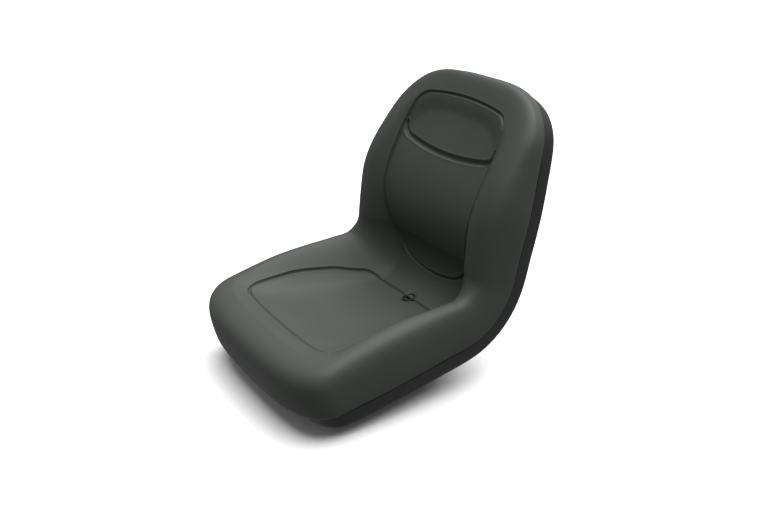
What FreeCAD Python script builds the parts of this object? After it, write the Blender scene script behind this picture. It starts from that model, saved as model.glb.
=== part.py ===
import FreeCAD, Part
import math
import os
from FreeCAD import Vector

# Bucket seat of a ride on mower: a moulded foam pad with high side bolsters and a high back,
# carried by one drawn sheet pan that runs under the seat, round the bend and up the back.
# Millimetres, +Z up, the sitter faces -Y. The origin is the centre of the four mounting bolts,
# on the level underside of the two mounting rails, which is also what the seat stands on.
# A place on the seat is given as x across, s along the side line of the pan rim, measured from
# its front end, and n, the height over that line.

# Side line of the pan rim: straight under the seat, an arc at the bend, a wide arc up the back
rim_length = 831.0
seat_run = 331.0
bend_radius = 137.0
rim_tilt = 8.0
back_low_angle = 80.3
back_top_angle = 62.9
rim_front_y = -214.0
rim_front_height = 46.0

# Width of the pad's lip along the side line
front_width = 470.0
hip_width = 466.0
bend_width = 443.0
waist_width = 435.0
back_width = 456.0
shoulder_width = 430.0
top_width = 394.0

# Rounded corners of the outline, seen square to it: depth, and fullness along and across
front_corner = 78.0
top_corner = 115.0
front_fullness_along = 2.64
front_fullness_across = 3.11
top_fullness_along = 2.69
top_fullness_across = 3.48

# Pad: height of the crest of the bolsters and of the dish between them, over the side line
front_crest = 86.0
seat_crest = 99.0
bend_crest = 86.5
back_crest = 89.0
top_crest = 31.0
front_dish = 71.0
seat_dish = 38.0
bend_dish = 9.0
back_dish = 69.0
top_dish = 34.0
# Where these change at the bend: before its end, and after its start
crest_lead = 100.0
dish_lag = 55.0
inset_lag = 40.0
# How far the crest and the foot of the bolsters lie inside the lip
seat_crest_inset = 28.0
bend_crest_inset = 15.0
back_crest_inset = 41.0
seat_foot_inset = 104.0
bend_foot_inset = 120.0
back_foot_inset = 86.0
front_crest_inset = 51.0
front_foot_inset = 95.0
top_crest_inset = 42.0
top_foot_inset = 88.0
# How far the widest line of the pad stands out past the lip, and how high it lies
side_bulge = 5.5
front_bulge = 5.0
top_bulge = -3.5
bulge_share = 0.45
shoulder_power = 0.69

# Pan: sheet, wall, edge channel and the field pressed down inside it
sheet = 1.6
pan_side_inset = 2.0
pan_front_inset = 20.0
pan_top_inset = 1.0
pan_depth = 36.0
pan_draft = 4.0
pan_corner_radius = 10.0
channel_width = 38.0
field_depth = 5.0
field_slope = 9.0
# Gap seen under the pad's lip, and room between the pad and the sheet
lip_gap = 1.8
pad_room = 1.0

# Mounting rails: hat sections welded under the pan, level underneath
rail_start_y = -158.0
rail_end_y = 160.0
rail_web = 36.0
rail_sheet = 2.5
rail_flange = 14.0

# Mounting: four bolts in nuts welded inside the rails
bolt_spacing_x = 203.2
bolt_spacing_y = 285.75
bolt_hole_radius = 4.5
nut_bore_radius = 4.0
nut_flats = 14.0
nut_height = 6.5

# Drain tube through the dish
drain_s = 356.0
drain_bore_radius = 8.0
drain_wall = 2.0
drain_flange_radius = 13.0
drain_flange = 2.0
drain_sink = 1.0
drain_reach = 6.0
drain_room = 0.4

# Press studs that hold the pad in the pan
stud_head_radius = 7.0
stud_head = 2.4
stud_radius = 3.2
stud_barb_radius = 4.4
barb_count = 3
stud_length = 19.0
stud_hole_radius = 3.6
stud_pocket_radius = 5.4
stud_room = 0.2
stud_seat_rows = (95.0, 265.0)
stud_back_rows = (560.0, 740.0)

# Opening for a seat switch, closed by a plug
switch_s = 235.0
switch_length = 50.0
switch_width = 34.0
plug_flange = 4.0
plug_thickness = 2.0
plug_room = 0.3

# How many spans each stretch of the surfaces has
corner_count = 7
seat_count = 6
bend_count = 7
back_count = 8


def step(start, angle, turn, length):
    """End point and angle of an arc that starts at an angle and turns evenly over its length."""
    half = 0.5 * turn
    chord = length * (math.sin(half) / half if half else 1.0)
    y = start[0] + chord * math.cos(angle + half)
    z = start[1] + chord * math.sin(angle + half)
    return (y, z), angle + turn


tilt = math.radians(rim_tilt)
bend_turn = math.radians(back_low_angle) - tilt
back_turn = math.radians(back_top_angle - back_low_angle)
bend_end = seat_run + bend_radius * bend_turn
back_length = rim_length - bend_end


def rim_point(s):
    """Point (y, z) and tangent angle of the side line at the distance s from its front end."""
    point, angle = step((rim_front_y, rim_front_height), tilt, 0.0, min(s, seat_run))
    if s > seat_run:
        run = min(s, bend_end) - seat_run
        point, angle = step(point, angle, run / bend_radius, run)
    if s > bend_end:
        run = s - bend_end
        point, angle = step(point, angle, back_turn * run / back_length, run)
    return point, angle


def place(x, s, n):
    """Point in space at x across, s along the side line and n over it."""
    (y, z), angle = rim_point(s)
    return Vector(x, y - n * math.sin(angle), z + n * math.cos(angle))


def normal(s):
    """Direction straight out of the pad at s."""
    angle = rim_point(s)[1]
    return Vector(0, -math.sin(angle), math.cos(angle))


def ease(t):
    """Smooth step from 0 to 1."""
    t = min(1.0, max(0.0, t))
    return t * t * (3 - 2 * t)


def smooth(stations):
    """Curve through (s, value) stations that neither waves nor overshoots between them."""
    ks = [k for k, v in stations]
    vs = [v for k, v in stations]
    slopes = [(vs[i + 1] - vs[i]) / (ks[i + 1] - ks[i]) for i in range(len(ks) - 1)]
    ends = []
    for i in range(len(ks)):
        left = slopes[max(i - 1, 0)]
        right = slopes[min(i, len(slopes) - 1)]
        flat = left * right <= 0 or i in (0, len(ks) - 1)
        ends.append(0.0 if flat else 2 * left * right / (left + right))

    def curve(s):
        s = min(ks[-1], max(ks[0], s))
        i = max(j for j in range(len(ks) - 1) if ks[j] <= s)
        h = ks[i + 1] - ks[i]
        t = (s - ks[i]) / h
        a = vs[i] * (1 + 2 * t) * (1 - t) ** 2 + vs[i + 1] * t * t * (3 - 2 * t)
        b = h * (ends[i] * t * (1 - t) ** 2 - ends[i + 1] * t * t * (1 - t))
        return a + b

    return curve


def back_at(share):
    """Distance along the side line of a place on the back, from bend end to top."""
    return bend_end + share * back_length


half_width = smooth([(0.0, front_width / 2), (0.5 * seat_run, hip_width / 2),
                     (seat_run, bend_width / 2), (0.75 * bend_end + 0.25 * seat_run, waist_width / 2),
                     (back_at(0.32), back_width / 2), (back_at(0.68), shoulder_width / 2),
                     (rim_length, top_width / 2)])
crest = smooth([(0.0, front_crest), (0.6 * seat_run, seat_crest), (bend_end - crest_lead, bend_crest),
                (back_at(0.25), back_crest), (rim_length, top_crest)])
dish = smooth([(0.2 * seat_run, front_dish), (0.6 * seat_run, seat_dish),
               (seat_run + dish_lag, bend_dish), (back_at(0.25), back_dish), (back_at(0.8), top_dish)])


crest_inset = smooth([(0.6 * seat_run, seat_crest_inset), (seat_run + inset_lag, bend_crest_inset),
                      (back_at(0.25), back_crest_inset)])
foot_inset = smooth([(0.6 * seat_run, seat_foot_inset), (seat_run + inset_lag, bend_foot_inset),
                     (back_at(0.25), back_foot_inset)])


def ring(side, front, top, height):
    """Half outline from the front centre to the top centre, as points in space.

    side, front and top say how far it lies inside the lip, height is its n; side and height
    may be functions of s.
    """
    side_at = side if callable(side) else (lambda s: side)
    height_at = height if callable(height) else (lambda s: height)
    front_depth = front_corner + 0.5 * front
    top_depth = rim_length - top_corner - 0.5 * top
    flat = []
    for i in range(corner_count):
        a = 0.5 * math.pi * i / corner_count
        s = front_depth - (front_depth - front) * math.cos(a) ** (2 / front_fullness_along)
        flat.append((s, math.sin(a) ** (2 / front_fullness_across)))
    stretches = ((front_depth, seat_run, seat_count), (seat_run, bend_end, bend_count),
                 (bend_end, top_depth, back_count))
    for start, end, spans in stretches:
        flat += [(start + (end - start) * i / spans, 1.0) for i in range(spans)]
    for i in range(corner_count, -1, -1):
        a = 0.5 * math.pi * i / corner_count
        s = top_depth + (rim_length - top - top_depth) * math.cos(a) ** (2 / top_fullness_along)
        flat.append((s, math.sin(a) ** (2 / top_fullness_across)))
    # the first and last two points share their s, so that the two halves meet smoothly
    flat[1] = (flat[0][0], flat[1][1])
    flat[-2] = (flat[-1][0], flat[-2][1])
    return [place(share * (half_width(s) - side_at(s)), s, height_at(s)) for s, share in flat]


def skin(rows):
    """Smooth face over a net of points, rows by columns."""
    axes = []
    for count in (len(rows), len(rows[0])):
        degree = min(3, count - 1)
        spans = count - degree
        knots = [float(i) for i in range(spans + 1)]
        axes.append((degree, knots, [degree + 1] + [1] * (spans - 1) + [degree + 1]))
    (du, ku, mu), (dv, kv, mv) = axes
    surface = Part.BSplineSurface()
    surface.buildFromPolesMultsKnots(rows, mu, mv, ku, kv, False, False, du, dv)
    return surface.toShape()


def mirrored(points):
    """The same points on the other side of the seat's centre plane."""
    return [Vector(-p.x, p.y, p.z) for p in points]


def both_sides(rows):
    """Faces over a band of half rings and over its mirror image."""
    return [skin(rows), skin([mirrored(row) for row in rows])]


def rungs(row):
    """Face that closes a half ring by straight lines across to its mirror image."""
    return skin([row, mirrored(row)])


def solid_of(faces):
    """Closed solid from faces that meet edge to edge."""
    shell = Part.makeShell(faces)
    shell.sewShape()
    solid = Part.Solid(shell)
    if solid.Volume < 0:
        solid.reverse()
    return solid


def pad_ring(t):
    """Ring of the pad: t is -1 at the lip, 0 at the widest line, 1 at the crest, 2 at the foot."""
    rise = math.sin(0.5 * math.pi * min(1.0, t + 1))
    arc = 0.5 * math.pi * min(1.0, max(0.0, t))
    inward = 1 - math.cos(arc) ** shoulder_power
    upward = math.sin(arc) ** shoulder_power
    fall = max(0.0, t - 1)
    base = bulge_share * (1 - math.cos(0.5 * math.pi * min(1.0, t + 1)))

    def inset(bulge, crest_in, foot_in):
        return -bulge * rise + (crest_in + bulge) * inward + (foot_in - crest_in) * fall

    def side(s):
        return inset(side_bulge, crest_inset(s), foot_inset(s))

    def height(s):
        return crest(s) * (base + (1 - bulge_share) * upward) - (crest(s) - dish(s)) * ease(fall)

    front = inset(front_bulge, front_crest_inset, front_foot_inset)
    top = inset(top_bulge, top_crest_inset, top_foot_inset)
    return ring(side, front, top, height)


def pan_ring(inset, height):
    """Ring of the pan, set in from its rim by the same amount all round."""
    return ring(pan_side_inset + inset, pan_front_inset + inset, pan_top_inset + inset, height)


def pan_section(offset, start):
    """Rings of the pan's wall and floor from a start height, moved inward square to the sheet."""
    radius = pan_corner_radius
    inner = radius - offset
    floor = -pan_depth + offset
    foot = pan_draft + channel_width
    rings = [pan_ring(offset, start), pan_ring(offset + 0.5 * pan_draft, -0.4 * pan_depth)]
    for k in range(4):
        a = math.radians(30 * k)
        inset = pan_draft + radius - inner * math.cos(a)
        rings.append(pan_ring(inset, radius - pan_depth - inner * math.sin(a)))
    # a level channel, then a slope down to the field
    for inset in (pan_draft + 0.45 * channel_width, foot - 6, foot):
        rings.append(pan_ring(inset, floor))
    for inset in (foot + field_slope, foot + field_slope + 6):
        rings.append(pan_ring(inset, floor - field_depth))
    return rings


field = -(pan_depth + field_depth)
stud_inset = pan_draft + 0.5 * (pan_corner_radius + channel_width)


def bolt_places():
    """Centres of the four mounting bolts."""
    return [(i * bolt_spacing_x / 2, j * bolt_spacing_y / 2) for j in (-1, 1) for i in (-1, 1)]


def stud_places():
    """Foot on the outside of the pan and direction of each press stud."""
    places = []
    for s in stud_seat_rows + stud_back_rows:
        x = half_width(s) - pan_side_inset - stud_inset
        places += [(place(side * x, s, -pan_depth), normal(s)) for side in (-1, 1)]
    return places


def switch_block(margin, low, high):
    """Block over the switch opening, square to the pan, between two heights."""
    length = switch_length + 2 * margin
    width = switch_width + 2 * margin
    block = Part.makeBox(width, length, high - low, Vector(-width / 2, -length / 2, low))
    block.rotate(Vector(0, 0, 0), Vector(1, 0, 0), rim_tilt)
    block.translate(place(0, switch_s, field))
    return block


def rail_top(y, n):
    """Distance along the side line at which the pan's underside, n over it, passes a given y."""
    low, high = 0.0, bend_end
    for _ in range(50):
        middle = 0.5 * (low + high)
        if place(0, middle, n).y < y:
            low = middle
        else:
            high = middle
    return low


def rail_profile(x, width, start_y, end_y, bottom, n):
    """Solid between a level bottom and the pan's underside, of a given width across."""
    first, last = rail_top(start_y, n), rail_top(end_y, n)
    a, b = place(x, first, n), place(x, last, n)
    low_a, low_b = Vector(x, a.y, bottom), Vector(x, b.y, bottom)
    edges = [Part.LineSegment(low_a, a)]
    if last > seat_run:
        turn = place(x, seat_run, n)
        middle = place(x, 0.5 * (seat_run + last), n)
        edges += [Part.LineSegment(a, turn), Part.Arc(turn, middle, b)]
    else:
        edges.append(Part.LineSegment(a, b))
    edges += [Part.LineSegment(b, low_b), Part.LineSegment(low_b, low_a)]
    face = Part.Face(Part.Wire([edge.toShape() for edge in edges]))
    return face.extrude(Vector(width, 0, 0))


def drain_line():
    """Top of the drain tube's flange, where it leaves the pan, and the direction up."""
    top = place(0, drain_s, dish(drain_s)) - Vector(0, 0, drain_sink)
    low = place(0, rail_top(top.y, field), field)
    return top, Vector(0, top.y, low.z - drain_reach), Vector(0, 0, 1)


def make_pan():
    """Drawn sheet pan with its holes."""
    outer = pan_section(0.0, -lip_gap)
    inner = pan_section(sheet, -lip_gap)
    faces = both_sides([inner[0], outer[0]])
    for rows in (outer, inner):
        faces += both_sides(rows) + [rungs(rows[-1])]
    pan = solid_of(faces)
    cutters = []
    deep = 2 * (sheet + field_depth)
    for foot, up in stud_places():
        cutters.append(Part.makeCylinder(stud_hole_radius, 2 * deep, foot - up * deep, up))
    low, up = drain_line()[1:]
    radius = drain_bore_radius + drain_wall + drain_room
    cutters.append(Part.makeCylinder(radius, drain_reach + 2 * deep, low - up * 2, up))
    cutters.append(switch_block(0.0, -2 * sheet, 3 * sheet))
    return pan.cut(cutters)


def make_cushion():
    """Foam pad: crown, lip and the plug that fills the pan, with room for what is in the pan."""
    plug = pan_section(sheet + pad_room, 0.0)
    crown = [pad_ring(t) for t in (-1, -0.5, 0, 0.25, 0.5, 0.75, 1, 1.25, 1.5, 1.75, 2)]
    faces = [rungs(plug[-1])] + both_sides(plug) + both_sides([plug[0], crown[0]])
    faces += both_sides(crown) + [rungs(crown[-1])]
    cushion = solid_of(faces)
    cutters = []
    for foot, up in stud_places():
        cutters.append(Part.makeCylinder(stud_pocket_radius, stud_length + 2 * pad_room, foot, up))
    top, low, up = drain_line()
    radius = drain_bore_radius + drain_wall + drain_room
    cutters.append(Part.makeCylinder(radius, (top - low).Length, low, up))
    seat = top - up * (drain_flange + drain_room)
    cutters.append(Part.makeCylinder(drain_flange_radius + drain_room, 40, seat, up))
    high = sheet + plug_thickness + pad_room
    cutters.append(switch_block(plug_flange + pad_room, -sheet, high))
    return cushion.cut(cutters)


def make_drain_tube():
    """Rubber tube with a flange in the dish and a collar under the pan."""
    top, low, up = drain_line()
    outer = drain_bore_radius + drain_wall
    body = Part.makeCylinder(outer, (top - low).Length, low, up)
    flange = Part.makeCylinder(drain_flange_radius, drain_flange, top - up * drain_flange, up)
    collar = Part.makeCylinder(outer + drain_wall, 0.4 * drain_reach, low, up)
    bore = Part.makeCylinder(drain_bore_radius, (top - low).Length + 2, low - up, up)
    return body.fuse([flange, collar]).cut(bore)


def make_stud(foot, up):
    """Press stud: round head on the outside of the pan, shank through it and barbs in the foam."""
    head = Part.makeCylinder(stud_head_radius, stud_head, foot - up * (stud_head + stud_room), up)
    shank = Part.makeCylinder(stud_radius, stud_length, foot - up * stud_room, up)
    barbs = []
    pitch = (stud_length - sheet - 3) / barb_count
    for k in range(barb_count):
        base = foot + up * (sheet + 2 + k * pitch)
        barbs.append(Part.makeCone(stud_barb_radius, stud_radius, 0.8 * pitch, base, up))
    return head.fuse([shank] + barbs)


def make_rail(side):
    """Hat section with its web level at the bottom and its flanges under the pan."""
    x = side * bolt_spacing_x / 2 - rail_web / 2
    n = field - 0.05
    outer = rail_profile(x, rail_web, rail_start_y, rail_end_y, 0.0, n)
    wide = rail_web + 2 * rail_flange
    flange = rail_profile(x - rail_flange, wide, rail_start_y, rail_end_y, 0.0, n)
    below = rail_profile(x - rail_flange - 1, wide + 2, rail_start_y - 2, rail_end_y + 2, -1.0,
                         n - rail_sheet)
    flange = flange.cut(below)
    inner = rail_profile(x + rail_sheet, rail_web - 2 * rail_sheet, rail_start_y - 2,
                         rail_end_y + 2, rail_sheet, n + 5)
    rail = outer.fuse(flange).cut(inner)
    for px, py in bolt_places():
        if px * side > 0:
            hole = Part.makeCylinder(bolt_hole_radius, 4 * rail_sheet, Vector(px, py, -rail_sheet))
            rail = rail.cut(hole)
    return rail.removeSplitter()


def make_nut(x, y):
    """Hexagon nut welded on the web of a rail."""
    reach = nut_flats / math.sqrt(3)
    corners = [Vector(x + reach * math.cos(math.radians(60 * k)),
                      y + reach * math.sin(math.radians(60 * k)), rail_sheet) for k in range(7)]
    block = Part.Face(Part.makePolygon(corners)).extrude(Vector(0, 0, nut_height))
    return block.cut(Part.makeCylinder(nut_bore_radius, 3 * nut_height, Vector(x, y, -nut_height)))


def make_plug():
    """Cap that closes the switch opening from inside the pan."""
    body = switch_block(-plug_room, plug_room, sheet + plug_thickness)
    return body.fuse(switch_block(plug_flange, sheet, sheet + plug_thickness)).removeSplitter()


def build():
    os.makedirs("parts", exist_ok=True)
    parts = {"cushion": make_cushion(), "seat_pan": make_pan(),
             "drain_tube": make_drain_tube(), "switch_plug": make_plug(),
             "rail_left": make_rail(-1), "rail_right": make_rail(1)}
    for k, (x, y) in enumerate(bolt_places(), 1):
        parts["weld_nut_%d" % k] = make_nut(x, y)
    for k, (foot, up) in enumerate(stud_places(), 1):
        parts["pad_stud_%d" % k] = make_stud(foot, up)
    for name, shape in parts.items():
        shape.exportStep("parts/%s.step" % name)
        print(name, len(shape.Solids), shape.isValid(), round(shape.Volume))


build()
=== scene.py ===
import math

import bmesh
import bpy
import numpy as np
from bpy.props import FloatProperty, IntProperty, PointerProperty, StringProperty
from mathutils import Matrix, Vector


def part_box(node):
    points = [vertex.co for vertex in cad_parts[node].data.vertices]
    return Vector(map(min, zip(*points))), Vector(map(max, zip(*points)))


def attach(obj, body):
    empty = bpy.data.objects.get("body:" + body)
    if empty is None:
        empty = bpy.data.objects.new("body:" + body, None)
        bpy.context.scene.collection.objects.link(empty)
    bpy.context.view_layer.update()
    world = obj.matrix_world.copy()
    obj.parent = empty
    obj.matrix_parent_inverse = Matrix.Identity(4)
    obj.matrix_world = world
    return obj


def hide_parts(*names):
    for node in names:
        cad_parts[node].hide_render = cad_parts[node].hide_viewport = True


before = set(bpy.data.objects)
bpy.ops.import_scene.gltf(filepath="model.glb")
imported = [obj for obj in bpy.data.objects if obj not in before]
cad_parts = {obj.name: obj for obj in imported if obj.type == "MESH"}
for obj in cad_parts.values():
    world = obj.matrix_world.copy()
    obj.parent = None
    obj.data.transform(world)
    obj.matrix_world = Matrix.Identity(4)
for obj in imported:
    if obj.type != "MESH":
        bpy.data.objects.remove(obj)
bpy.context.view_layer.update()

bl_info = {
    "name": "Ride On Mower Seat",
    "version": (1, 0, 0),
    "blender": (4, 5, 0),
    "location": "3D View > Sidebar > Mower Seat",
    "description": "Moulded foam bucket seat on a drawn steel pan, dressed over its fixed frame",
    "category": "Object",
}

MM = 0.001


# The seat's lines, in millimetres

# Side line of the pan rim: straight under the seat, an arc at the bend, a wide arc up the back
RIM = 831.0
RUN = 331.0
BEND_RADIUS = 137.0
TILT = math.radians(8.0)
LOW_ANGLE = math.radians(80.3)
TOP_ANGLE = math.radians(62.9)
RIM_FRONT = (-214.0, 46.0)
BEND_END = RUN + BEND_RADIUS * (LOW_ANGLE - TILT)
BACK_RADIUS = (RIM - BEND_END) / (TOP_ANGLE - LOW_ANGLE)
# Rounded ends of the outline: half width, depth, fullness along and across
FRONT_HALF, FRONT_CORNER, FRONT_ALONG, FRONT_ACROSS = 235.0, 78.0, 2.64, 3.11
TOP_HALF, TOP_CORNER, TOP_ALONG, TOP_ACROSS = 197.0, 115.0, 2.69, 3.48
# Section of the pad's shoulder, from its widest line to its crest: width, height and fullness
SHOULDER_WIDTH, SHOULDER_HEIGHT, SHOULDER_POWER = 50.0, 38.0, 0.69
# Shares of the crest's height that lie under and over the widest line
LOW_SHARE, HIGH_SHARE = 0.45, 0.55
# How far the widest line stands out past the lip, and the crest and the foot of the bolsters lie inside
SIDE_BULGE = 5.5
FRONT_INSETS = (5.0, 51.0, 95.0)
TOP_INSETS = (-3.5, 42.0, 88.0)
# Ends of the skin's rows on the centre line: from the front, from both ends of the side, from the top
SPINE = (205.0, 255.0, 615.0, 655.0)
# Bowl under the sitter: its share where it is strongest, where along the seat it starts to fade and
# over what length, how much of its way it has gone at the bolsters' foot, and its two powers
BOWL_SHARE, BOWL_FADE, BOWL_FADE_LENGTH = 0.6, 190.0, 210.0
BOWL_FOOT, BOWL_FLAT, BOWL_EASE = 0.37, 4, 1.3
# How far the pan's rim lies inside the pad's lip: side, front, top
PAN_INSET = (2.0, 20.0, 1.0)
# The pan's sheet, and how high over the rim line its floor and the flat round the switch lie
SHEET = 1.6
PAN_FLOOR = -36.0
PAN_FIELD = -41.0
# Room between foam and pan at the walls and on the floor, and how far the foam's walls lean in
WALL_ROOM, FLOOR_ROOM, WALL_LEAN = 2.2, 2.0, 8.0
DRAIN_S = 356.0
SWITCH_S = 235.0
# The press studs: places along the side line, and distance inside the pan's rim
STUD_S = (95.0, 265.0, 560.0, 740.0)
STUD_INSET = 28.0


def smooth(*stations):
    """Curve through (s, value) stations that neither waves nor overshoots between them."""
    ks, vs = (np.array(column, float) for column in zip(*stations))
    gaps = np.diff(ks)
    slopes = np.diff(vs) / gaps
    ends = np.zeros(len(ks))
    rising = slopes[:-1] * slopes[1:] > 0
    low, high = slopes[:-1][rising], slopes[1:][rising]
    ends[1:-1][rising] = 2 * low * high / (low + high)

    def curve(s):
        s = np.clip(s, ks[0], ks[-1])
        i = np.clip(np.searchsorted(ks, s, side="right") - 1, 0, len(ks) - 2)
        t = (s - ks[i]) / gaps[i]
        level = vs[i] * (1 + 2 * t) * (1 - t) ** 2 + vs[i + 1] * t * t * (3 - 2 * t)
        return level + gaps[i] * (ends[i] * t * (1 - t) ** 2 - ends[i + 1] * t * t * (1 - t))

    return curve


def back_at(share):
    """Place along the side line at a share of the back's height."""
    return BEND_END + share * (RIM - BEND_END)


half_width = smooth((0, FRONT_HALF), (0.5 * RUN, 233), (RUN, 221.5),
                    (0.75 * BEND_END + 0.25 * RUN, 217.5), (back_at(0.32), 228),
                    (back_at(0.68), 215), (RIM, TOP_HALF))
crest = smooth((0, 86), (0.6 * RUN, 99), (BEND_END - 100, 86.5), (back_at(0.25), 89), (RIM, 31))
dish = smooth((0.2 * RUN, 71), (0.6 * RUN, 38), (RUN + 55, 9), (back_at(0.25), 69), (back_at(0.8), 34))
crest_inset = smooth((0.6 * RUN, 28), (RUN + 40, 15), (back_at(0.25), 41))
foot_inset = smooth((0.6 * RUN, 104), (RUN + 40, 120), (back_at(0.25), 86))


def place(x, s, n):
    """Points in metres at x across, s along the side line and n over it, all arrays of millimetres."""
    x, s, n = np.broadcast_arrays(x, s, n)
    straight = np.minimum(s, RUN)
    y = RIM_FRONT[0] + straight * math.cos(TILT)
    z = RIM_FRONT[1] + straight * math.sin(TILT)
    bend = TILT + np.clip(s - RUN, 0, BEND_END - RUN) / BEND_RADIUS
    y = y + BEND_RADIUS * (np.sin(bend) - math.sin(TILT))
    z = z - BEND_RADIUS * (np.cos(bend) - math.cos(TILT))
    angle = bend + np.clip(s - BEND_END, 0, RIM - BEND_END) / BACK_RADIUS
    y = y + BACK_RADIUS * (np.sin(angle) - np.sin(bend))
    z = z - BACK_RADIUS * (np.cos(angle) - np.cos(bend))
    return np.stack([x, y - n * np.sin(angle), z + n * np.cos(angle)], -1) * MM


def out_of_pan(s):
    """Direction straight out of the pad at s."""
    return Vector(place(0.0, s, 1.0) - place(0.0, s, 0.0)).normalized()


def even_angles(across, along, x_power, s_power):
    """Shares of a corner's length and the angle reached there, so that its points are evenly spaced."""
    a = np.linspace(0, math.pi / 2, 2000)
    x, s = across * np.sin(a) ** x_power, along * np.cos(a) ** s_power
    run = np.concatenate([[0], np.cumsum(np.hypot(np.diff(x), np.diff(s)))])
    return run / run[-1], a, run[-1]


FRONT_SHARE, FRONT_ANGLE, FRONT_LENGTH = even_angles(FRONT_HALF, FRONT_CORNER, 2 / FRONT_ACROSS,
                                                     2 / FRONT_ALONG)
TOP_SHARE, TOP_ANGLE_AT, TOP_LENGTH = even_angles(TOP_HALF, TOP_CORNER, 2 / TOP_ACROSS, 2 / TOP_ALONG)
HALF_LOOP = FRONT_LENGTH + RIM - FRONT_CORNER - TOP_CORNER + TOP_LENGTH
FRONT_U = FRONT_LENGTH / HALF_LOOP
TOP_U = 1 - TOP_LENGTH / HALF_LOOP
SHOULDER_SHARE, SHOULDER_ANGLE, _ = even_angles(SHOULDER_WIDTH, SHOULDER_HEIGHT, SHOULDER_POWER,
                                                SHOULDER_POWER)


def outline(u, side, front, top):
    """Places (x, s) on the half outline that lies side, front and top inside the lip.

    u runs from 0 at the front centre to 1 at the top centre.
    """
    a = np.interp(u / FRONT_U, FRONT_SHARE, FRONT_ANGLE)
    b = np.interp((1 - u) / (1 - TOP_U), TOP_SHARE, TOP_ANGLE_AT)
    low = FRONT_CORNER + 0.5 * front
    high = RIM - TOP_CORNER - 0.5 * top
    s = low + (high - low) * np.clip((u - FRONT_U) / (TOP_U - FRONT_U), 0, 1)
    s = s - (low - front) * np.maximum(np.cos(a), 0) ** (2 / FRONT_ALONG)
    s = s + (RIM - top - high) * np.maximum(np.cos(b), 0) ** (2 / TOP_ALONG)
    share = np.sin(a) ** (2 / FRONT_ACROSS) * np.sin(b) ** (2 / TOP_ACROSS)
    inset = side(s) if callable(side) else side
    return share * (half_width(s) - inset), s


def spine(u):
    """Place along the centre line where the rows of the pad's skin end."""
    return np.interp(u, (0, FRONT_U, TOP_U, 1), SPINE)


def ease(t):
    """Smooth step from 0 to 1."""
    t = np.clip(t, 0, 1)
    return t * t * (3 - 2 * t)


def crown(u, t, lip):
    """Places (x, s, n) on the pad over its lip.

    t is -1 at the lip, 0 at the widest line, 1 at the crest, 2 at the foot of the bolsters and 3 on
    the centre line.
    """
    climb = 0.5 * math.pi * np.minimum(1, t + 1)
    rise = np.sin(climb)
    base = LOW_SHARE * (1 - np.cos(climb))
    arc = np.interp(np.clip(t, 0, 1), SHOULDER_SHARE, SHOULDER_ANGLE)
    inward = 1 - np.maximum(np.cos(arc), 0) ** SHOULDER_POWER
    upward = np.sin(arc) ** SHOULDER_POWER
    fall = np.clip(t - 1, 0, 1)
    inside = np.clip(t - 2, 0, 1)

    def inset(bulge, crest_in, foot_in):
        return -bulge * rise + (crest_in + bulge) * inward + (foot_in - crest_in) * fall

    x, s = outline(u, lambda s: inset(SIDE_BULGE, crest_inset(s), foot_inset(s)),
                   inset(*FRONT_INSETS), inset(*TOP_INSETS))
    x = x * (1 - inside)
    s = s + (spine(u) - s) * inside
    top = crest(s)
    # under the sitter the bolsters run out into a shallow bowl, at the bend into a firmer foot
    bowl = (1 - (1 - BOWL_FOOT * fall - (1 - BOWL_FOOT) * inside) ** BOWL_FLAT) ** BOWL_EASE
    soft = BOWL_SHARE * (1 - ease((s - BOWL_FADE) / BOWL_FADE_LENGTH))
    n = lip + (top - lip) * (base + HIGH_SHARE * upward)
    n = n - (top - dish(s)) * (ease(fall) * (1 - soft) + bowl * soft)
    return x, s, n


def underside(u, t, lip):
    """Places (x, s, n) under the lip.

    t is -1 at the lip, -2 where its rounding ends, -3 inside the pan's rim, -4 on the pan's floor and
    -5 on the centre line.
    """
    down = -1 - t
    turn = 0.5 * math.pi * np.clip(down, 0, 1)
    curl = lip * (1 - np.cos(turn))
    across = np.clip(down - 1, 0, 1)
    wall = np.clip(down - 2, 0, 1)
    close = np.clip(down - 3, 0, 1)
    insets = [curl + (inset + SHEET + WALL_ROOM - lip) * across + WALL_LEAN * wall ** 2
              for inset in PAN_INSET]
    x, s = outline(u, *insets)
    n = lip * (1 - np.sin(turn)) + (PAN_FLOOR + SHEET + FLOOR_ROOM) * np.sin(0.5 * math.pi * wall)
    x = x * (1 - close)
    s = s + (spine(u) - s) * close
    return x, s, n


def trimmed(side, start, end):
    """The line with its first start and last end millimetres taken off."""
    run = np.concatenate([[0], np.cumsum(np.hypot(*np.diff(side, axis=0).T))])
    at = np.linspace(start, run[-1] - end, 60)
    return np.stack([np.interp(at, run, side[:, i]) for i in (0, 1)], -1)


def turn_to(start, knee, end):
    """Points after start on a curve that sets out towards the knee and stops at end."""
    t = np.linspace(0, 1, 24)[1:, None]
    return start * (1 - t) ** 2 + knee * 2 * t * (1 - t) + end * t * t


def rounded_loop(sides, radii):
    """Closed line through sides that meet at corners, with each corner rounded by its radius."""
    loop = []
    for k, side in enumerate(sides):
        following = (k + 1) % len(sides)
        kept = trimmed(side, radii[k], radii[following])
        ahead = trimmed(sides[following], radii[following], 0)[0]
        loop += [kept, turn_to(kept[-1], side[-1], ahead)[:-1]]
    loop.append(loop[0][:1])
    return np.concatenate(loop)


def bowed(middle, bow):
    """Line across the seat: its place s on the centre line, and its bow per square millimetre."""
    return lambda x: middle + bow * x * x


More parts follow.
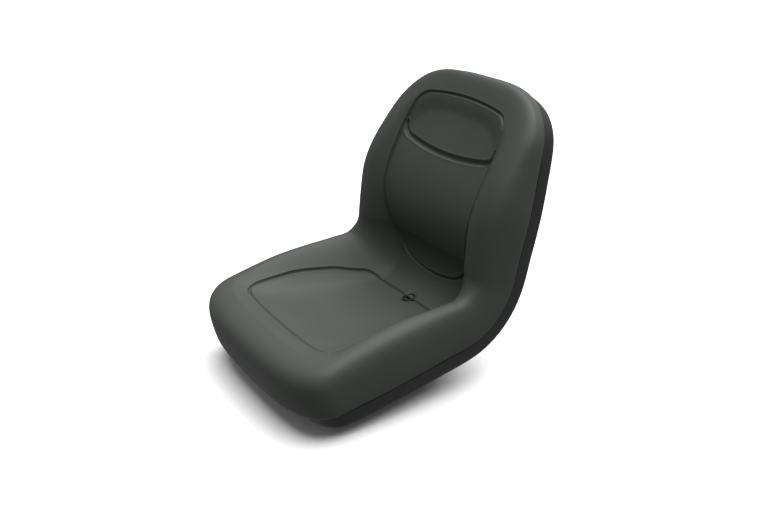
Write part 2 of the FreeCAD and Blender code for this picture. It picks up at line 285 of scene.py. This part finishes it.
def panel(half_widths, front, rear, radii):
    """Outline of a panel: half widths at even stations, front and rear lines, corner radii."""
    ks = np.linspace(front(0), rear(0), len(half_widths))
    width = smooth(*zip(ks, half_widths))
    corner_s = [line(np.array(width(line(0)))) for line in (front, rear)]
    s = np.linspace(*corner_s, 80)
    xf, xr = float(width(corner_s[0])), float(width(corner_s[1]))
    across_f, across_r = np.linspace(-xf, xf, 80), np.linspace(xr, -xr, 80)
    sides = [np.stack([across_f, front(across_f)], -1), np.stack([width(s), s], -1),
             np.stack([across_r, rear(across_r)], -1), np.stack([-width(s[::-1]), s[::-1]], -1)]
    return rounded_loop(sides, radii)


SEAT_PANEL = panel(half_widths=(170.0, 168.9, 154.4, 130.8), front=bowed(84.0, 0.0002),
                   rear=bowed(355.7, -0.0001), radii=(34, 34, 24, 24))
BACK_PANEL = panel(half_widths=(104.9, 134.3, 149.1, 150.3, 138.0), front=bowed(429.8, 0.0018),
                   rear=bowed(780.0, -0.0007), radii=(34, 34, 28, 28))
# Lower edge of the headrest: its line, how far it reaches, and the turn up to the panel's sides
HEAD_EDGE, HEAD_REACH = bowed(670.8, 0.0007), 122.0
HEAD_KNEE, HEAD_END = (144.5, 684.0), (147.3, 704.0)


def headrest_line():
    """Lower edge of the headrest, turning up to meet the sides of the back panel."""
    x = np.linspace(-HEAD_REACH, HEAD_REACH, 120)
    line = np.stack([x, HEAD_EDGE(x)], -1)
    curl = turn_to(line[-1], np.array(HEAD_KNEE), np.array(HEAD_END))
    return np.concatenate([curl[::-1] * (-1, 1), line, curl])


HEADREST = headrest_line()
# Points compared with a line at a time, so that the memory stays small
CHUNK = 4000


def distance(points, line):
    """Distance of each (x, s) point from a line of points."""
    a, b = line[:-1], line[1:]
    run = b - a
    length = np.maximum((run ** 2).sum(1), 1e-9)
    nearest = np.zeros(len(points))
    for start in range(0, len(points), CHUNK):
        part = points[start:start + CHUNK]
        off = part[:, None] - a
        share = np.clip((off * run).sum(2) / length, 0, 1)
        gap = off - share[..., None] * run
        nearest[start:start + CHUNK] = np.sqrt((gap ** 2).sum(2).min(1))
    return nearest


# Settings

def length_property(name, description, default):
    """Length in metres."""
    return FloatProperty(name=name, description=description, default=default, min=0.0,
                         unit="LENGTH", precision=4)


def colour_property(name, piece, default):
    """Colour as an sRGB hex value."""
    return StringProperty(name=name, description="Colour of the %s as sRGB hex" % piece, default=default)


class PadSettings(bpy.types.PropertyGroup):
    seat_groove: length_property("Seat groove depth", "Depth of the groove round the seat panel", 0.0036)
    back_groove: length_property("Back groove depth", "Depth of the groove round the back panel", 0.0042)
    head_groove: length_property("Headrest groove depth", "Depth of the groove under the headrest", 0.0060)
    groove_width: length_property("Groove width", "Width of the grooves round the panels", 0.0080)
    head_width: length_property("Headrest groove width", "Width of the groove under the headrest", 0.0130)
    lip_radius: length_property("Lip radius", "Rounding of the pad's lower edge", 0.0022)
    skin_hex: colour_property("Skin colour", "moulded skin", "2F322F")


class MetalSettings(bpy.types.PropertyGroup):
    coat_hex: colour_property("Coat colour", "pan's powder coat", "050507")
    zinc_hex: colour_property("Zinc colour", "plated nuts", "B9BDC0")


class TrimSettings(bpy.types.PropertyGroup):
    rubber_hex: colour_property("Rubber colour", "drain tube", "050505")
    nylon_hex: colour_property("Nylon colour", "press studs and the plug", "191A1B")
    stud_sides: IntProperty(name="Stud sides", description="Sides of each round press stud",
                            default=32, min=8)


class StudioSettings(bpy.types.PropertyGroup):
    floor_size: length_property("Floor size", "Width of the pale floor", 30.0)
    paper_hex: colour_property("Paper colour", "floor", "CCCCCC")
    sun_strength: FloatProperty(name="Light strength", default=8.5,
                                description="Strength of the overhead light")
    sky_strength: FloatProperty(name="Fill strength", default=0.45,
                                description="Strength of the even fill light")
    lens: FloatProperty(name="Lens", default=44.93,
                        description="Focal length of the camera in millimetres")


# Materials

def linear(hex_code):
    """Linear colour of an sRGB hex value."""
    parts = [int(hex_code[i:i + 2], 16) / 255 for i in (0, 2, 4)]
    return [c / 12.92 if c <= 0.04045 else ((c + 0.055) / 1.055) ** 2.4 for c in parts] + [1.0]


def node(tree, kind, inputs=None, **settings):
    """Adds a node with its settings, values and links, and returns it."""
    made = tree.nodes.new(kind)
    for key, value in settings.items():
        setattr(made, key, value)
    for key, value in (inputs or {}).items():
        if isinstance(value, bpy.types.NodeSocket):
            tree.links.new(value, made.inputs[key])
        else:
            made.inputs[key].default_value = value
    return made


def blank_material(name):
    """Empty node material and its tree."""
    material = bpy.data.materials.new(name)
    material.use_nodes = True
    material.node_tree.nodes.clear()
    return material, material.node_tree


def finish_material(tree, inputs):
    """Principled surface with these inputs."""
    surface = node(tree, "ShaderNodeBsdfPrincipled", inputs)
    node(tree, "ShaderNodeOutputMaterial", {"Surface": surface.outputs[0]})


def two_tones(tree, factor, hex_code, low, high):
    """The colour, darkened and lightened by a pattern."""
    colour = linear(hex_code)
    tones = [[c * k for c in colour[:3]] + [1.0] for k in (low, high)]
    mixed = node(tree, "ShaderNodeMix", {"Factor": factor, 6: tones[0], 7: tones[1]}, data_type="RGBA")
    return mixed.outputs[2]


def moulded_polyurethane(hex_code):
    """Self-skinned polyurethane foam, moulded against a grained tool."""
    # A tough closed skin: matt to satin, with a fine leather-like grain about 0.9 mm across and
    # faint mottling, about 70 mm across, where the skin cured thicker.
    material, tree = blank_material("moulded_polyurethane_skin")
    where = node(tree, "ShaderNodeTexCoord").outputs["Object"]
    mottle = node(tree, "ShaderNodeTexNoise", {"Vector": where, "Scale": 14.0, "Detail": 4.0})
    dust = node(tree, "ShaderNodeTexNoise", {"Vector": where, "Scale": 420.0, "Detail": 3.0})
    # grain cells 0.9 mm across: 1 / 0.0009 m
    grain = node(tree, "ShaderNodeTexVoronoi", {"Vector": where, "Scale": 1100.0}, feature="SMOOTH_F1")
    mixed = node(tree, "ShaderNodeMix", {"Factor": 0.3, 2: mottle.outputs[0], 3: dust.outputs[0]})
    tone = two_tones(tree, mixed.outputs[0], hex_code, 0.90, 1.10)
    rough = node(tree, "ShaderNodeMapRange", {"Value": mottle.outputs[0], "To Min": 0.54, "To Max": 0.64})
    bump = node(tree, "ShaderNodeBump", {"Height": grain.outputs["Distance"], "Strength": 0.10,
                                         "Distance": 0.0002})
    finish_material(tree, {"Base Color": tone, "Roughness": rough.outputs[0], "IOR": 1.3,
                           "Normal": bump.outputs[0]})
    return material


def powder_coated_steel(hex_code):
    """Mild steel pan, drawn and then powder coated black."""
    # The baked powder flows into a fine orange peel about 1.2 mm across; it is half gloss and hides
    # the sheet, with tiny lighter specks of dust.
    material, tree = blank_material("powder_coated_steel")
    where = node(tree, "ShaderNodeTexCoord").outputs["Object"]
    peel = node(tree, "ShaderNodeTexNoise", {"Vector": where, "Scale": 830.0, "Detail": 2.0})
    cloud = node(tree, "ShaderNodeTexNoise", {"Vector": where, "Scale": 35.0, "Detail": 5.0})
    tone = two_tones(tree, cloud.outputs[0], hex_code, 0.75, 1.25)
    rough = node(tree, "ShaderNodeMapRange", {"Value": cloud.outputs[0], "To Min": 0.42, "To Max": 0.58})
    bump = node(tree, "ShaderNodeBump", {"Height": peel.outputs[0], "Strength": 0.25, "Distance": 0.0003})
    finish_material(tree, {"Base Color": tone, "Roughness": rough.outputs[0], "IOR": 1.42,
                           "Normal": bump.outputs[0]})
    return material


def zinc_plated_steel(hex_code):
    """Steel weld nuts, zinc plated before welding."""
    # Bright blue-white plating with a fine crystalline haze about 2 mm across.
    material, tree = blank_material("zinc_plated_steel")
    where = node(tree, "ShaderNodeTexCoord").outputs["Object"]
    haze = node(tree, "ShaderNodeTexNoise", {"Vector": where, "Scale": 500.0, "Detail": 6.0})
    tone = two_tones(tree, haze.outputs[0], hex_code, 0.8, 1.1)
    rough = node(tree, "ShaderNodeMapRange", {"Value": haze.outputs[0], "To Min": 0.25, "To Max": 0.42})
    finish_material(tree, {"Base Color": tone, "Roughness": rough.outputs[0], "Metallic": 1.0})
    return material


def moulded_rubber(hex_code):
    """EPDM rubber drain tube, moulded."""
    # Matt black with a faint grey bloom and no clear reflections.
    material, tree = blank_material("moulded_rubber")
    where = node(tree, "ShaderNodeTexCoord").outputs["Object"]
    bloom = node(tree, "ShaderNodeTexNoise", {"Vector": where, "Scale": 160.0, "Detail": 5.0})
    tone = two_tones(tree, bloom.outputs[0], hex_code, 0.7, 1.4)
    rough = node(tree, "ShaderNodeMapRange", {"Value": bloom.outputs[0], "To Min": 0.55, "To Max": 0.72})
    finish_material(tree, {"Base Color": tone, "Roughness": rough.outputs[0], "IOR": 1.352})
    return material


def moulded_nylon(hex_code):
    """Injection moulded black nylon, for the press studs and the switch plug."""
    # Satin with a spark-eroded tool finish about 0.5 mm across.
    material, tree = blank_material("moulded_nylon")
    where = node(tree, "ShaderNodeTexCoord").outputs["Object"]
    spark = node(tree, "ShaderNodeTexNoise", {"Vector": where, "Scale": 2000.0, "Detail": 2.0})
    tone = two_tones(tree, spark.outputs[0], hex_code, 0.85, 1.15)
    rough = node(tree, "ShaderNodeMapRange", {"Value": spark.outputs[0], "To Min": 0.38, "To Max": 0.5})
    bump = node(tree, "ShaderNodeBump", {"Height": spark.outputs[0], "Strength": 0.2, "Distance": 0.0001})
    finish_material(tree, {"Base Color": tone, "Roughness": rough.outputs[0], "IOR": 1.53,
                           "Normal": bump.outputs[0]})
    return material


def white_paper(hex_code):
    """Matt white paper that the seat stands on."""
    # Even and matt; a very faint fibre tone keeps it from being a flat colour.
    material, tree = blank_material("matt_white_paper")
    where = node(tree, "ShaderNodeTexCoord").outputs["Object"]
    fibre = node(tree, "ShaderNodeTexNoise", {"Vector": where, "Scale": 300.0})
    tone = two_tones(tree, fibre.outputs[0], hex_code, 0.99, 1.0)
    finish_material(tree, {"Base Color": tone, "Roughness": 0.95})
    return material


def dress(piece, material):
    """Gives a piece its one material."""
    piece.data.materials.clear()
    piece.data.materials.append(material)


# Mesh helpers

def deselect_all():
    """Leaves edit mode and selects nothing."""
    if bpy.context.object and bpy.context.object.mode != "OBJECT":
        bpy.ops.object.mode_set(mode="OBJECT")
    bpy.ops.object.select_all(action="DESELECT")


def only(piece):
    """Makes this the one selected and active object."""
    deselect_all()
    piece.select_set(True)
    bpy.context.view_layer.objects.active = piece


def settle(piece, matrix=None):
    """Puts the object's place into its mesh, so that the object sits at the origin."""
    only(piece)
    if matrix is not None:
        piece.data.transform(matrix)
    bpy.ops.object.transform_apply(location=True, rotation=True, scale=True)
    return piece


def apply_modifier(piece, kind, **settings):
    """Adds a modifier and applies it at once."""
    only(piece)
    modifier = piece.modifiers.new(kind.lower(), kind)
    for key, value in settings.items():
        setattr(modifier, key, value)
    bpy.ops.object.modifier_apply(modifier=modifier.name)


def smooth_by_angle(piece, degrees):
    """Smooth shading, with edges kept sharp over an angle."""
    only(piece)
    bpy.ops.object.shade_smooth_by_angle(angle=math.radians(degrees))


def read_points(piece):
    """The mesh's points as an array."""
    flat = np.zeros(len(piece.data.vertices) * 3)
    piece.data.vertices.foreach_get("co", flat)
    return flat.reshape(-1, 3)


def write_points(piece, points):
    """Moves the mesh's points to these places."""
    piece.data.vertices.foreach_set("co", np.ascontiguousarray(points, float).ravel())
    piece.data.update()


def joined(pieces):
    """One object made of several, under the name of the first."""
    only(pieces[0])
    for piece in pieces[1:]:
        piece.select_set(True)
    bpy.ops.object.join()
    return bpy.context.object


def frame_to(foot, up):
    """Matrix that stands a piece modelled round +Z on a point, along a direction."""
    turn = Vector((0, 0, 1)).rotation_difference(Vector(up)).to_matrix().to_4x4()
    return Matrix.Translation(Vector(foot)) @ turn


def cylinder(radius, low, high, matrix, sides=48):
    """Cylinder from low to high along its own axis, put in place by a matrix. Millimetres."""
    deselect_all()
    bpy.ops.mesh.primitive_cylinder_add(vertices=sides, radius=radius * MM, depth=(high - low) * MM,
                                        location=(0, 0, 0.5 * (low + high) * MM))
    made = bpy.context.object
    settle(made)
    return settle(made, matrix)


def block(size, height=0.0):
    """Block of this size, centred at a height over the origin. Millimetres."""
    deselect_all()
    bpy.ops.mesh.primitive_cube_add(size=1, location=(0, 0, height * MM),
                                    scale=[side * MM for side in size])
    return settle(bpy.context.object)


def turned(name, profile, sides):
    """Round piece turned from a profile of (radius, height) corners in millimetres."""
    mesh = bpy.data.meshes.new(name)
    points = [(r * MM, 0, z * MM) for r, z in profile]
    mesh.from_pydata(points, [(i, i + 1) for i in range(len(points) - 1)], [])
    piece = bpy.data.objects.new(name, mesh)
    bpy.context.collection.objects.link(piece)
    only(piece)
    bpy.ops.object.mode_set(mode="EDIT")
    bpy.ops.mesh.select_all(action="SELECT")
    bpy.ops.mesh.spin(steps=sides, angle=2 * math.pi, center=(0, 0, 0), axis=(0, 0, 1))
    bpy.ops.mesh.select_all(action="SELECT")
    bpy.ops.mesh.remove_doubles(threshold=1e-6)
    bpy.ops.mesh.normals_make_consistent(inside=False)
    bpy.ops.object.mode_set(mode="OBJECT")
    return piece


def keep(piece, slot_name, *nodes):
    """Finished piece: rides on the seat's one body and stands for its CAD nodes. slot_name is not used."""
    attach(piece, "root")
    if nodes:
        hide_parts(*nodes)


def drain_places():
    """Top of the drain tube's flange and the height where it leaves the pan, on a vertical line."""
    low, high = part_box("drain_tube")
    return Vector((0, 0.5 * (low.y + high.y), high.z)), low.z


def stud_places():
    """Foot on the outside of the pan and direction of each press stud."""
    places = []
    for s in STUD_S:
        x = float(half_width(s)) - PAN_INSET[0] - STUD_INSET
        for side in (-1, 1):
            places.append((Vector(place(side * x, s, PAN_FLOOR)), out_of_pan(s)))
    return places


def switch_frame():
    """Matrix of the switch opening, on the pan's outside."""
    return Matrix.Translation(Vector(place(0.0, SWITCH_S, PAN_FIELD))) @ Matrix.Rotation(TILT, 4, "X")


# The pad

# Where each row of the skin lies across the flat sheet, and its t, from the underside's centre line
ROW_AT = (0, 0.05, 0.10, 0.14, 0.18, 0.30, 0.50, 0.74, 1)
ROW_T = (-5, -4, -3, -2, -1, 0, 1, 2, 3)
# Faces of the flat sheet along and across, and how near a groove they are cut finer, each time
SHEET_FACES = (260, 124)
FINER = (9.0, 6.5)
# Rows above this t carry the grooves
GROOVED_FROM = 0.6
# Section of a groove: rounding of its bottom, and the raised edges' height, place and width as shares
VEE_ROUND = 0.06
EDGE_HEIGHT, EDGE_AT, EDGE_WIDTH = 0.10, 0.95, 0.45
# Dip round the drain: its depth in metres, the radius that it is even to, its fade and its fine faces
DIP, DIP_RADIUS, DIP_FADE, DIP_FINE = 0.0022, 12.0, 9.0, 24.0
# Holes in the foam: tube bore, flange recess and its depth, stud pocket from foot to end, switch recess
BORE, RECESS, RECESS_DEPTH = 10.4, 13.4, 2.4
POCKET, POCKET_FOOT, POCKET_END = 5.4, -3, 21
SWITCH_RECESS = (44, 60, 8)


def pad_points(flat, settings):
    """Where points of a flat sheet from 0 to 1 lie on the pad: (x, s), space and t."""
    u, t = flat[:, 0], np.interp(flat[:, 1], ROW_AT, ROW_T)
    lip = settings.lip_radius / MM
    over, under = crown(u, np.maximum(t, -1), lip), underside(u, np.minimum(t, -1), lip)
    x, s, n = (np.where(t >= -1, a, b) for a, b in zip(over, under))
    return np.stack([x, s], -1), place(x, s, n), t


def from_drain(places):
    """Distance of each (x, s) point from the drain."""
    return np.hypot(places[:, 0], places[:, 1] - DRAIN_S)


def groove_depths(places, t, settings):
    """How far each point of the skin is pressed in by the panel grooves and round the drain."""
    depth = np.zeros(len(places))
    top = np.flatnonzero(t > GROOVED_FROM)
    near = places[top]
    pressed, raised = np.zeros(len(near)), np.zeros(len(near))
    half, half_head = 0.5 * settings.groove_width / MM, 0.5 * settings.head_width / MM
    bottom, rim = np.sqrt(VEE_ROUND), np.sqrt(1 + VEE_ROUND)
    for line, deep, reach in ((SEAT_PANEL, settings.seat_groove, half),
                              (BACK_PANEL, settings.back_groove, half),
                              (HEADREST, settings.head_groove, half_head)):
        away = distance(near, line) / reach
        vee = (rim - np.sqrt(np.minimum(away, 1) ** 2 + VEE_ROUND)) / (rim - bottom)
        pressed = np.maximum(pressed, deep * vee)
        # the skin stands up a little along both edges of a groove
        edge = ease(1 - np.abs(away - EDGE_AT) / EDGE_WIDTH)
        raised = np.maximum(raised, EDGE_HEIGHT * deep * edge)
    pressed += DIP * (1 - ease((from_drain(near) - DIP_RADIUS) / DIP_FADE))
    depth[top] = pressed - raised
    return depth


def near_grooves(places, t, reach):
    """Which points are within reach of a groove or round the drain."""
    close = np.zeros(len(places), bool)
    top = np.flatnonzero(t > GROOVED_FROM)
    for line in (SEAT_PANEL, BACK_PANEL, HEADREST):
        close[top] |= distance(places[top], line) < reach
    close[top] |= from_drain(places[top]) < DIP_FINE
    return close


def face_centres(piece):
    """The middles of the mesh's faces as an array."""
    flat = np.zeros(len(piece.data.polygons) * 3)
    piece.data.polygons.foreach_get("center", flat)
    return flat.reshape(-1, 3)


def pad_skin(settings):
    """One half of the pad's skin, from a flat grid moved onto the moulded shape."""
    deselect_all()
    bpy.ops.mesh.primitive_grid_add(x_subdivisions=SHEET_FACES[0], y_subdivisions=SHEET_FACES[1],
                                    size=1.0, location=(0, 0, 0))
    pad = bpy.context.object
    pad.name = pad.data.name = "moulded_pad"
    for reach in FINER:
        # cut the faces near a groove finer, so that its walls are smooth
        places, _, t = pad_points(face_centres(pad)[:, :2] + 0.5, settings)
        bpy.ops.object.mode_set(mode="EDIT")
        bpy.ops.mesh.select_mode(type="FACE")
        bpy.ops.mesh.select_all(action="DESELECT")
        bpy.ops.object.mode_set(mode="OBJECT")
        pad.data.polygons.foreach_set("select", near_grooves(places, t, reach))
        bpy.ops.object.mode_set(mode="EDIT")
        bpy.ops.mesh.subdivide(number_cuts=1, ngon=False)
        bpy.ops.object.mode_set(mode="OBJECT")
    flat = np.clip(read_points(pad)[:, :2] + 0.5, 0, 1)
    places, points, t = pad_points(flat, settings)
    # the way out of the skin, from steps along and across the sheet that stay inside it
    tiny = 1e-4
    ahead = np.where(flat > 0.5, -tiny, tiny)
    along = pad_points(flat + ahead * (1, 0), settings)[1] - points
    across = pad_points(flat + ahead * (0, 1), settings)[1] - points
    out = np.cross(along * np.sign(ahead[:, :1]), across * np.sign(ahead[:, 1:]))
    out /= np.maximum(np.linalg.norm(out, axis=1, keepdims=True), 1e-12)
    points = points - out * groove_depths(places, t, settings)[:, None]
    # the sheet's four edges close on the middle plane
    on_edge = ((flat < 1e-6) | (flat > 1 - 1e-6)).any(axis=1)
    points[on_edge, 0] = 0
    write_points(pad, points)
    return pad


def pad_cutter():
    """Everything that is cut out of the foam: drain, stud pockets and the switch recess."""
    top, low = drain_places()
    centre = Matrix.Translation((0, top.y, 0))
    holes = [cylinder(BORE, low / MM, top.z / MM + 1, centre),
             cylinder(RECESS, top.z / MM - RECESS_DEPTH, top.z / MM + 30, centre)]
    for foot, up in stud_places():
        holes.append(cylinder(POCKET, POCKET_FOOT, POCKET_END, frame_to(foot, up), 24))
    holes.append(settle(block(SWITCH_RECESS), switch_frame()))
    return joined(holes)


def make_pad(settings):
    """Moulded foam pad with its panel grooves, rounded lip and drain hole."""
    pad = pad_skin(settings)
    apply_modifier(pad, "MIRROR", use_clip=True, merge_threshold=1e-5)
    only(pad)
    bpy.ops.object.mode_set(mode="EDIT")
    bpy.ops.mesh.select_all(action="SELECT")
    bpy.ops.mesh.remove_doubles(threshold=2e-5)
    bpy.ops.mesh.normals_make_consistent(inside=False)
    bpy.ops.object.mode_set(mode="OBJECT")
    cutter = pad_cutter()
    apply_modifier(pad, "BOOLEAN", object=cutter, operation="DIFFERENCE", solver="MANIFOLD")
    bpy.data.objects.remove(cutter)
    smooth_by_angle(pad, 40)
    dress(pad, moulded_polyurethane(settings.skin_hex))
    keep(pad, "pad_skin", "cushion")


# Trim, steel and studio

def make_drain_tube(settings):
    """Rubber tube with a rounded flange in the dish and a collar under the pan."""
    top, low = drain_places()
    h = (top.z - low) / MM
    profile = [(8, 0.6), (8.6, 0), (11.4, 0), (12, 0.5), (12, 2.0), (11.5, 2.4), (10, 2.6),
               (10, h - 2.6), (10.4, h - 2), (12.4, h - 2), (13, h - 1.6), (13, h - 0.7), (12.5, h - 0.2),
               (11.6, h), (9.6, h), (8.6, h - 0.3), (8.1, h - 1.0), (8, h - 2.2), (8, 0.6)]
    tube = turned("drain_grommet", profile, 64)
    settle(tube, Matrix.Translation((0, top.y, low)))
    smooth_by_angle(tube, 40)
    dress(tube, moulded_rubber(settings.rubber_hex))
    keep(tube, "tube_rubber", "drain_tube")


def make_studs(settings):
    """Press studs: a domed head on the outside of the pan, a shank and barbs in the foam."""
    profile = [(0.001, -2.6), (2.2, -2.5), (4.4, -2.1), (6.0, -1.5), (6.9, -0.8), (7.0, -0.45),
               (6.8, -0.2), (3.2, -0.2), (3.2, 3.4), (4.3, 3.8), (3.2, 7.2), (3.2, 8.0), (4.3, 8.4),
               (3.2, 11.8), (3.2, 12.6), (4.3, 13.0), (2.2, 18.6), (0.001, 18.8)]
    first = turned("press_stud_1", profile, settings.stud_sides)
    smooth_by_angle(first, 35)
    dress(first, moulded_nylon(settings.nylon_hex))
    blank = first.data.copy()
    for k, (foot, up) in enumerate(stud_places(), 1):
        stud = first
        if k > 1:
            stud = first.copy()
            stud.data = blank.copy()
            stud.name = stud.data.name = "press_stud_%d" % k
            bpy.context.collection.objects.link(stud)
        stud.data.transform(frame_to(foot, up))
        keep(stud, "stud_plastic", "pad_stud_%d" % k)
    bpy.data.meshes.remove(blank)


# The switch plug: its body and flange, each with its middle's height, and the tray in the body
PLUG_BODY, PLUG_BODY_AT = (33.2, 49.2, 3.2), 1.9
PLUG_FLANGE, PLUG_FLANGE_AT = (41, 57, 1.9), 2.6
PLUG_EDGE, TRAY_WALL, TRAY_DEPTH = 0.5, 3.5, 1.2


def make_switch_plug(settings):
    """Moulded cap that closes the switch opening: a flange inside the pan and a body with a tray."""
    plug = block(PLUG_BODY, PLUG_BODY_AT)
    plug.name = plug.data.name = "switch_plug_cap"
    bpy.ops.object.mode_set(mode="EDIT")
    shape = bmesh.from_edit_mesh(plug.data)
    for face in shape.faces:
        face.select_set(face.normal.z < -0.9)
    bmesh.update_edit_mesh(plug.data)
    bpy.ops.mesh.inset(thickness=TRAY_WALL * MM)
    bpy.ops.mesh.extrude_region_move(TRANSFORM_OT_translate={"value": (0, 0, TRAY_DEPTH * MM)})
    bpy.ops.object.mode_set(mode="OBJECT")
    flange = block(PLUG_FLANGE, PLUG_FLANGE_AT)
    for piece in (plug, flange):
        apply_modifier(piece, "BEVEL", width=PLUG_EDGE * MM, segments=3, limit_method="ANGLE")
    settle(joined([plug, flange]), switch_frame())
    smooth_by_angle(plug, 35)
    dress(plug, moulded_nylon(settings.nylon_hex))
    keep(plug, "stud_plastic", "switch_plug")


def finish_steel(settings):
    """Powder coat on the pan and rails, zinc on the weld nuts."""
    coat, zinc = powder_coated_steel(settings.coat_hex), zinc_plated_steel(settings.zinc_hex)
    for name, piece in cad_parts.items():
        if name.startswith(("seat_pan", "rail")):
            dress(piece, coat)
        elif name.startswith("weld_nut"):
            dress(piece, zinc)


# The photograph's viewing angle: place in metres, then azimuth, elevation and roll in degrees
CAMERA_AT = (1.48723, -0.75819, 0.92033)
CAMERA_AZIMUTH, CAMERA_ELEVATION, CAMERA_ROLL = -29.895, 22.895, -2.648
# The overhead light: where it comes from, and how wide it spreads in degrees
LIGHT_FROM, LIGHT_SPREAD = (0.05, 0.3, 1.0), 80


def make_floor(settings):
    """Pale paper floor."""
    deselect_all()
    bpy.ops.mesh.primitive_plane_add(size=settings.floor_size, location=(0, 0, 0))
    floor = bpy.context.object
    floor.name = "paper_floor"
    dress(floor, white_paper(settings.paper_hex))
    # the even fill stands in for the light that white paper would throw back up at the black seat
    floor.visible_glossy = floor.visible_diffuse = False


def make_light(settings):
    """Wide overhead light and an even fill from all round."""
    deselect_all()
    bpy.ops.object.light_add(type="SUN", location=(0.5, 1.0, 3.0))
    light = bpy.context.object
    light.name = "overhead_light"
    light.data.energy = settings.sun_strength
    light.data.angle = math.radians(LIGHT_SPREAD)
    light.rotation_euler = Vector(LIGHT_FROM).to_track_quat("Z", "Y").to_euler()
    world = bpy.data.worlds.new("even_fill")
    world.use_nodes = True
    fill = world.node_tree.nodes["Background"]
    fill.inputs["Color"].default_value = (1, 1, 1, 1)
    fill.inputs["Strength"].default_value = settings.sky_strength
    bpy.context.scene.world = world


def make_camera(settings):
    """Camera at the photograph's viewing angle."""
    data = bpy.data.cameras.new("photo_camera")
    data.sensor_width = 36.0
    data.sensor_fit = "HORIZONTAL"
    data.lens = settings.lens
    camera = bpy.data.objects.new("photo_camera", data)
    bpy.context.collection.objects.link(camera)
    turn = (Matrix.Rotation(math.radians(CAMERA_AZIMUTH + 90), 4, "Z")
            @ Matrix.Rotation(math.radians(90 - CAMERA_ELEVATION), 4, "X")
            @ Matrix.Rotation(math.radians(CAMERA_ROLL), 4, "Z"))
    camera.matrix_world = Matrix.Translation(CAMERA_AT) @ turn
    bpy.context.scene.camera = camera
    bpy.context.scene.view_settings.view_transform = "Standard"


def make_studio(settings):
    """Floor, light and camera."""
    make_floor(settings)
    make_light(settings)
    make_camera(settings)


# Operators, panel and registration

class MOWERSEAT_OT_pad(bpy.types.Operator):
    """Make the moulded foam pad."""
    bl_idname = "mowerseat.pad"
    bl_label = "Moulded pad"

    def execute(self, context):
        make_pad(context.scene.mowerseat_pad)
        return {"FINISHED"}


class MOWERSEAT_OT_steel(bpy.types.Operator):
    """Finish the drawn pan, the rails and the weld nuts."""
    bl_idname = "mowerseat.steel"
    bl_label = "Pan, rails and nuts"

    def execute(self, context):
        finish_steel(context.scene.mowerseat_metal)
        return {"FINISHED"}


class MOWERSEAT_OT_drain_tube(bpy.types.Operator):
    """Make the rubber drain tube."""
    bl_idname = "mowerseat.drain_tube"
    bl_label = "Drain tube"

    def execute(self, context):
        make_drain_tube(context.scene.mowerseat_trim)
        return {"FINISHED"}


class MOWERSEAT_OT_studs(bpy.types.Operator):
    """Make the eight press studs."""
    bl_idname = "mowerseat.studs"
    bl_label = "Press studs"

    def execute(self, context):
        make_studs(context.scene.mowerseat_trim)
        return {"FINISHED"}


class MOWERSEAT_OT_switch_plug(bpy.types.Operator):
    """Make the cap of the switch opening."""
    bl_idname = "mowerseat.switch_plug"
    bl_label = "Switch plug"

    def execute(self, context):
        make_switch_plug(context.scene.mowerseat_trim)
        return {"FINISHED"}


class MOWERSEAT_OT_studio(bpy.types.Operator):
    """Make the floor, the light and the camera."""
    bl_idname = "mowerseat.studio"
    bl_label = "Studio"

    def execute(self, context):
        make_studio(context.scene.mowerseat_studio)
        return {"FINISHED"}


PIECES = (MOWERSEAT_OT_pad, MOWERSEAT_OT_steel, MOWERSEAT_OT_drain_tube, MOWERSEAT_OT_studs,
          MOWERSEAT_OT_switch_plug, MOWERSEAT_OT_studio)
SETTINGS = {"mowerseat_pad": PadSettings, "mowerseat_metal": MetalSettings,
            "mowerseat_trim": TrimSettings, "mowerseat_studio": StudioSettings}


class MOWERSEAT_PT_panel(bpy.types.Panel):
    """Lists the seat's pieces in order."""
    bl_idname = "MOWERSEAT_PT_panel"
    bl_label = "Ride On Mower Seat"
    bl_space_type = "VIEW_3D"
    bl_region_type = "UI"
    bl_category = "Mower Seat"

    def draw(self, context):
        for piece in PIECES:
            self.layout.operator(piece.bl_idname)


CLASSES = tuple(SETTINGS.values()) + PIECES + (MOWERSEAT_PT_panel,)


def register():
    for cls in CLASSES:
        bpy.utils.register_class(cls)
    for name, group in SETTINGS.items():
        setattr(bpy.types.Scene, name, PointerProperty(type=group))


def unregister():
    for name in SETTINGS:
        delattr(bpy.types.Scene, name)
    for cls in reversed(CLASSES):
        bpy.utils.unregister_class(cls)


def main():
    """Makes every piece and the stage."""
    register()
    bpy.ops.mowerseat.pad()
    bpy.ops.mowerseat.steel()
    bpy.ops.mowerseat.drain_tube()
    bpy.ops.mowerseat.studs()
    bpy.ops.mowerseat.switch_plug()
    bpy.ops.mowerseat.studio()


if __name__ == "__main__":
    main()
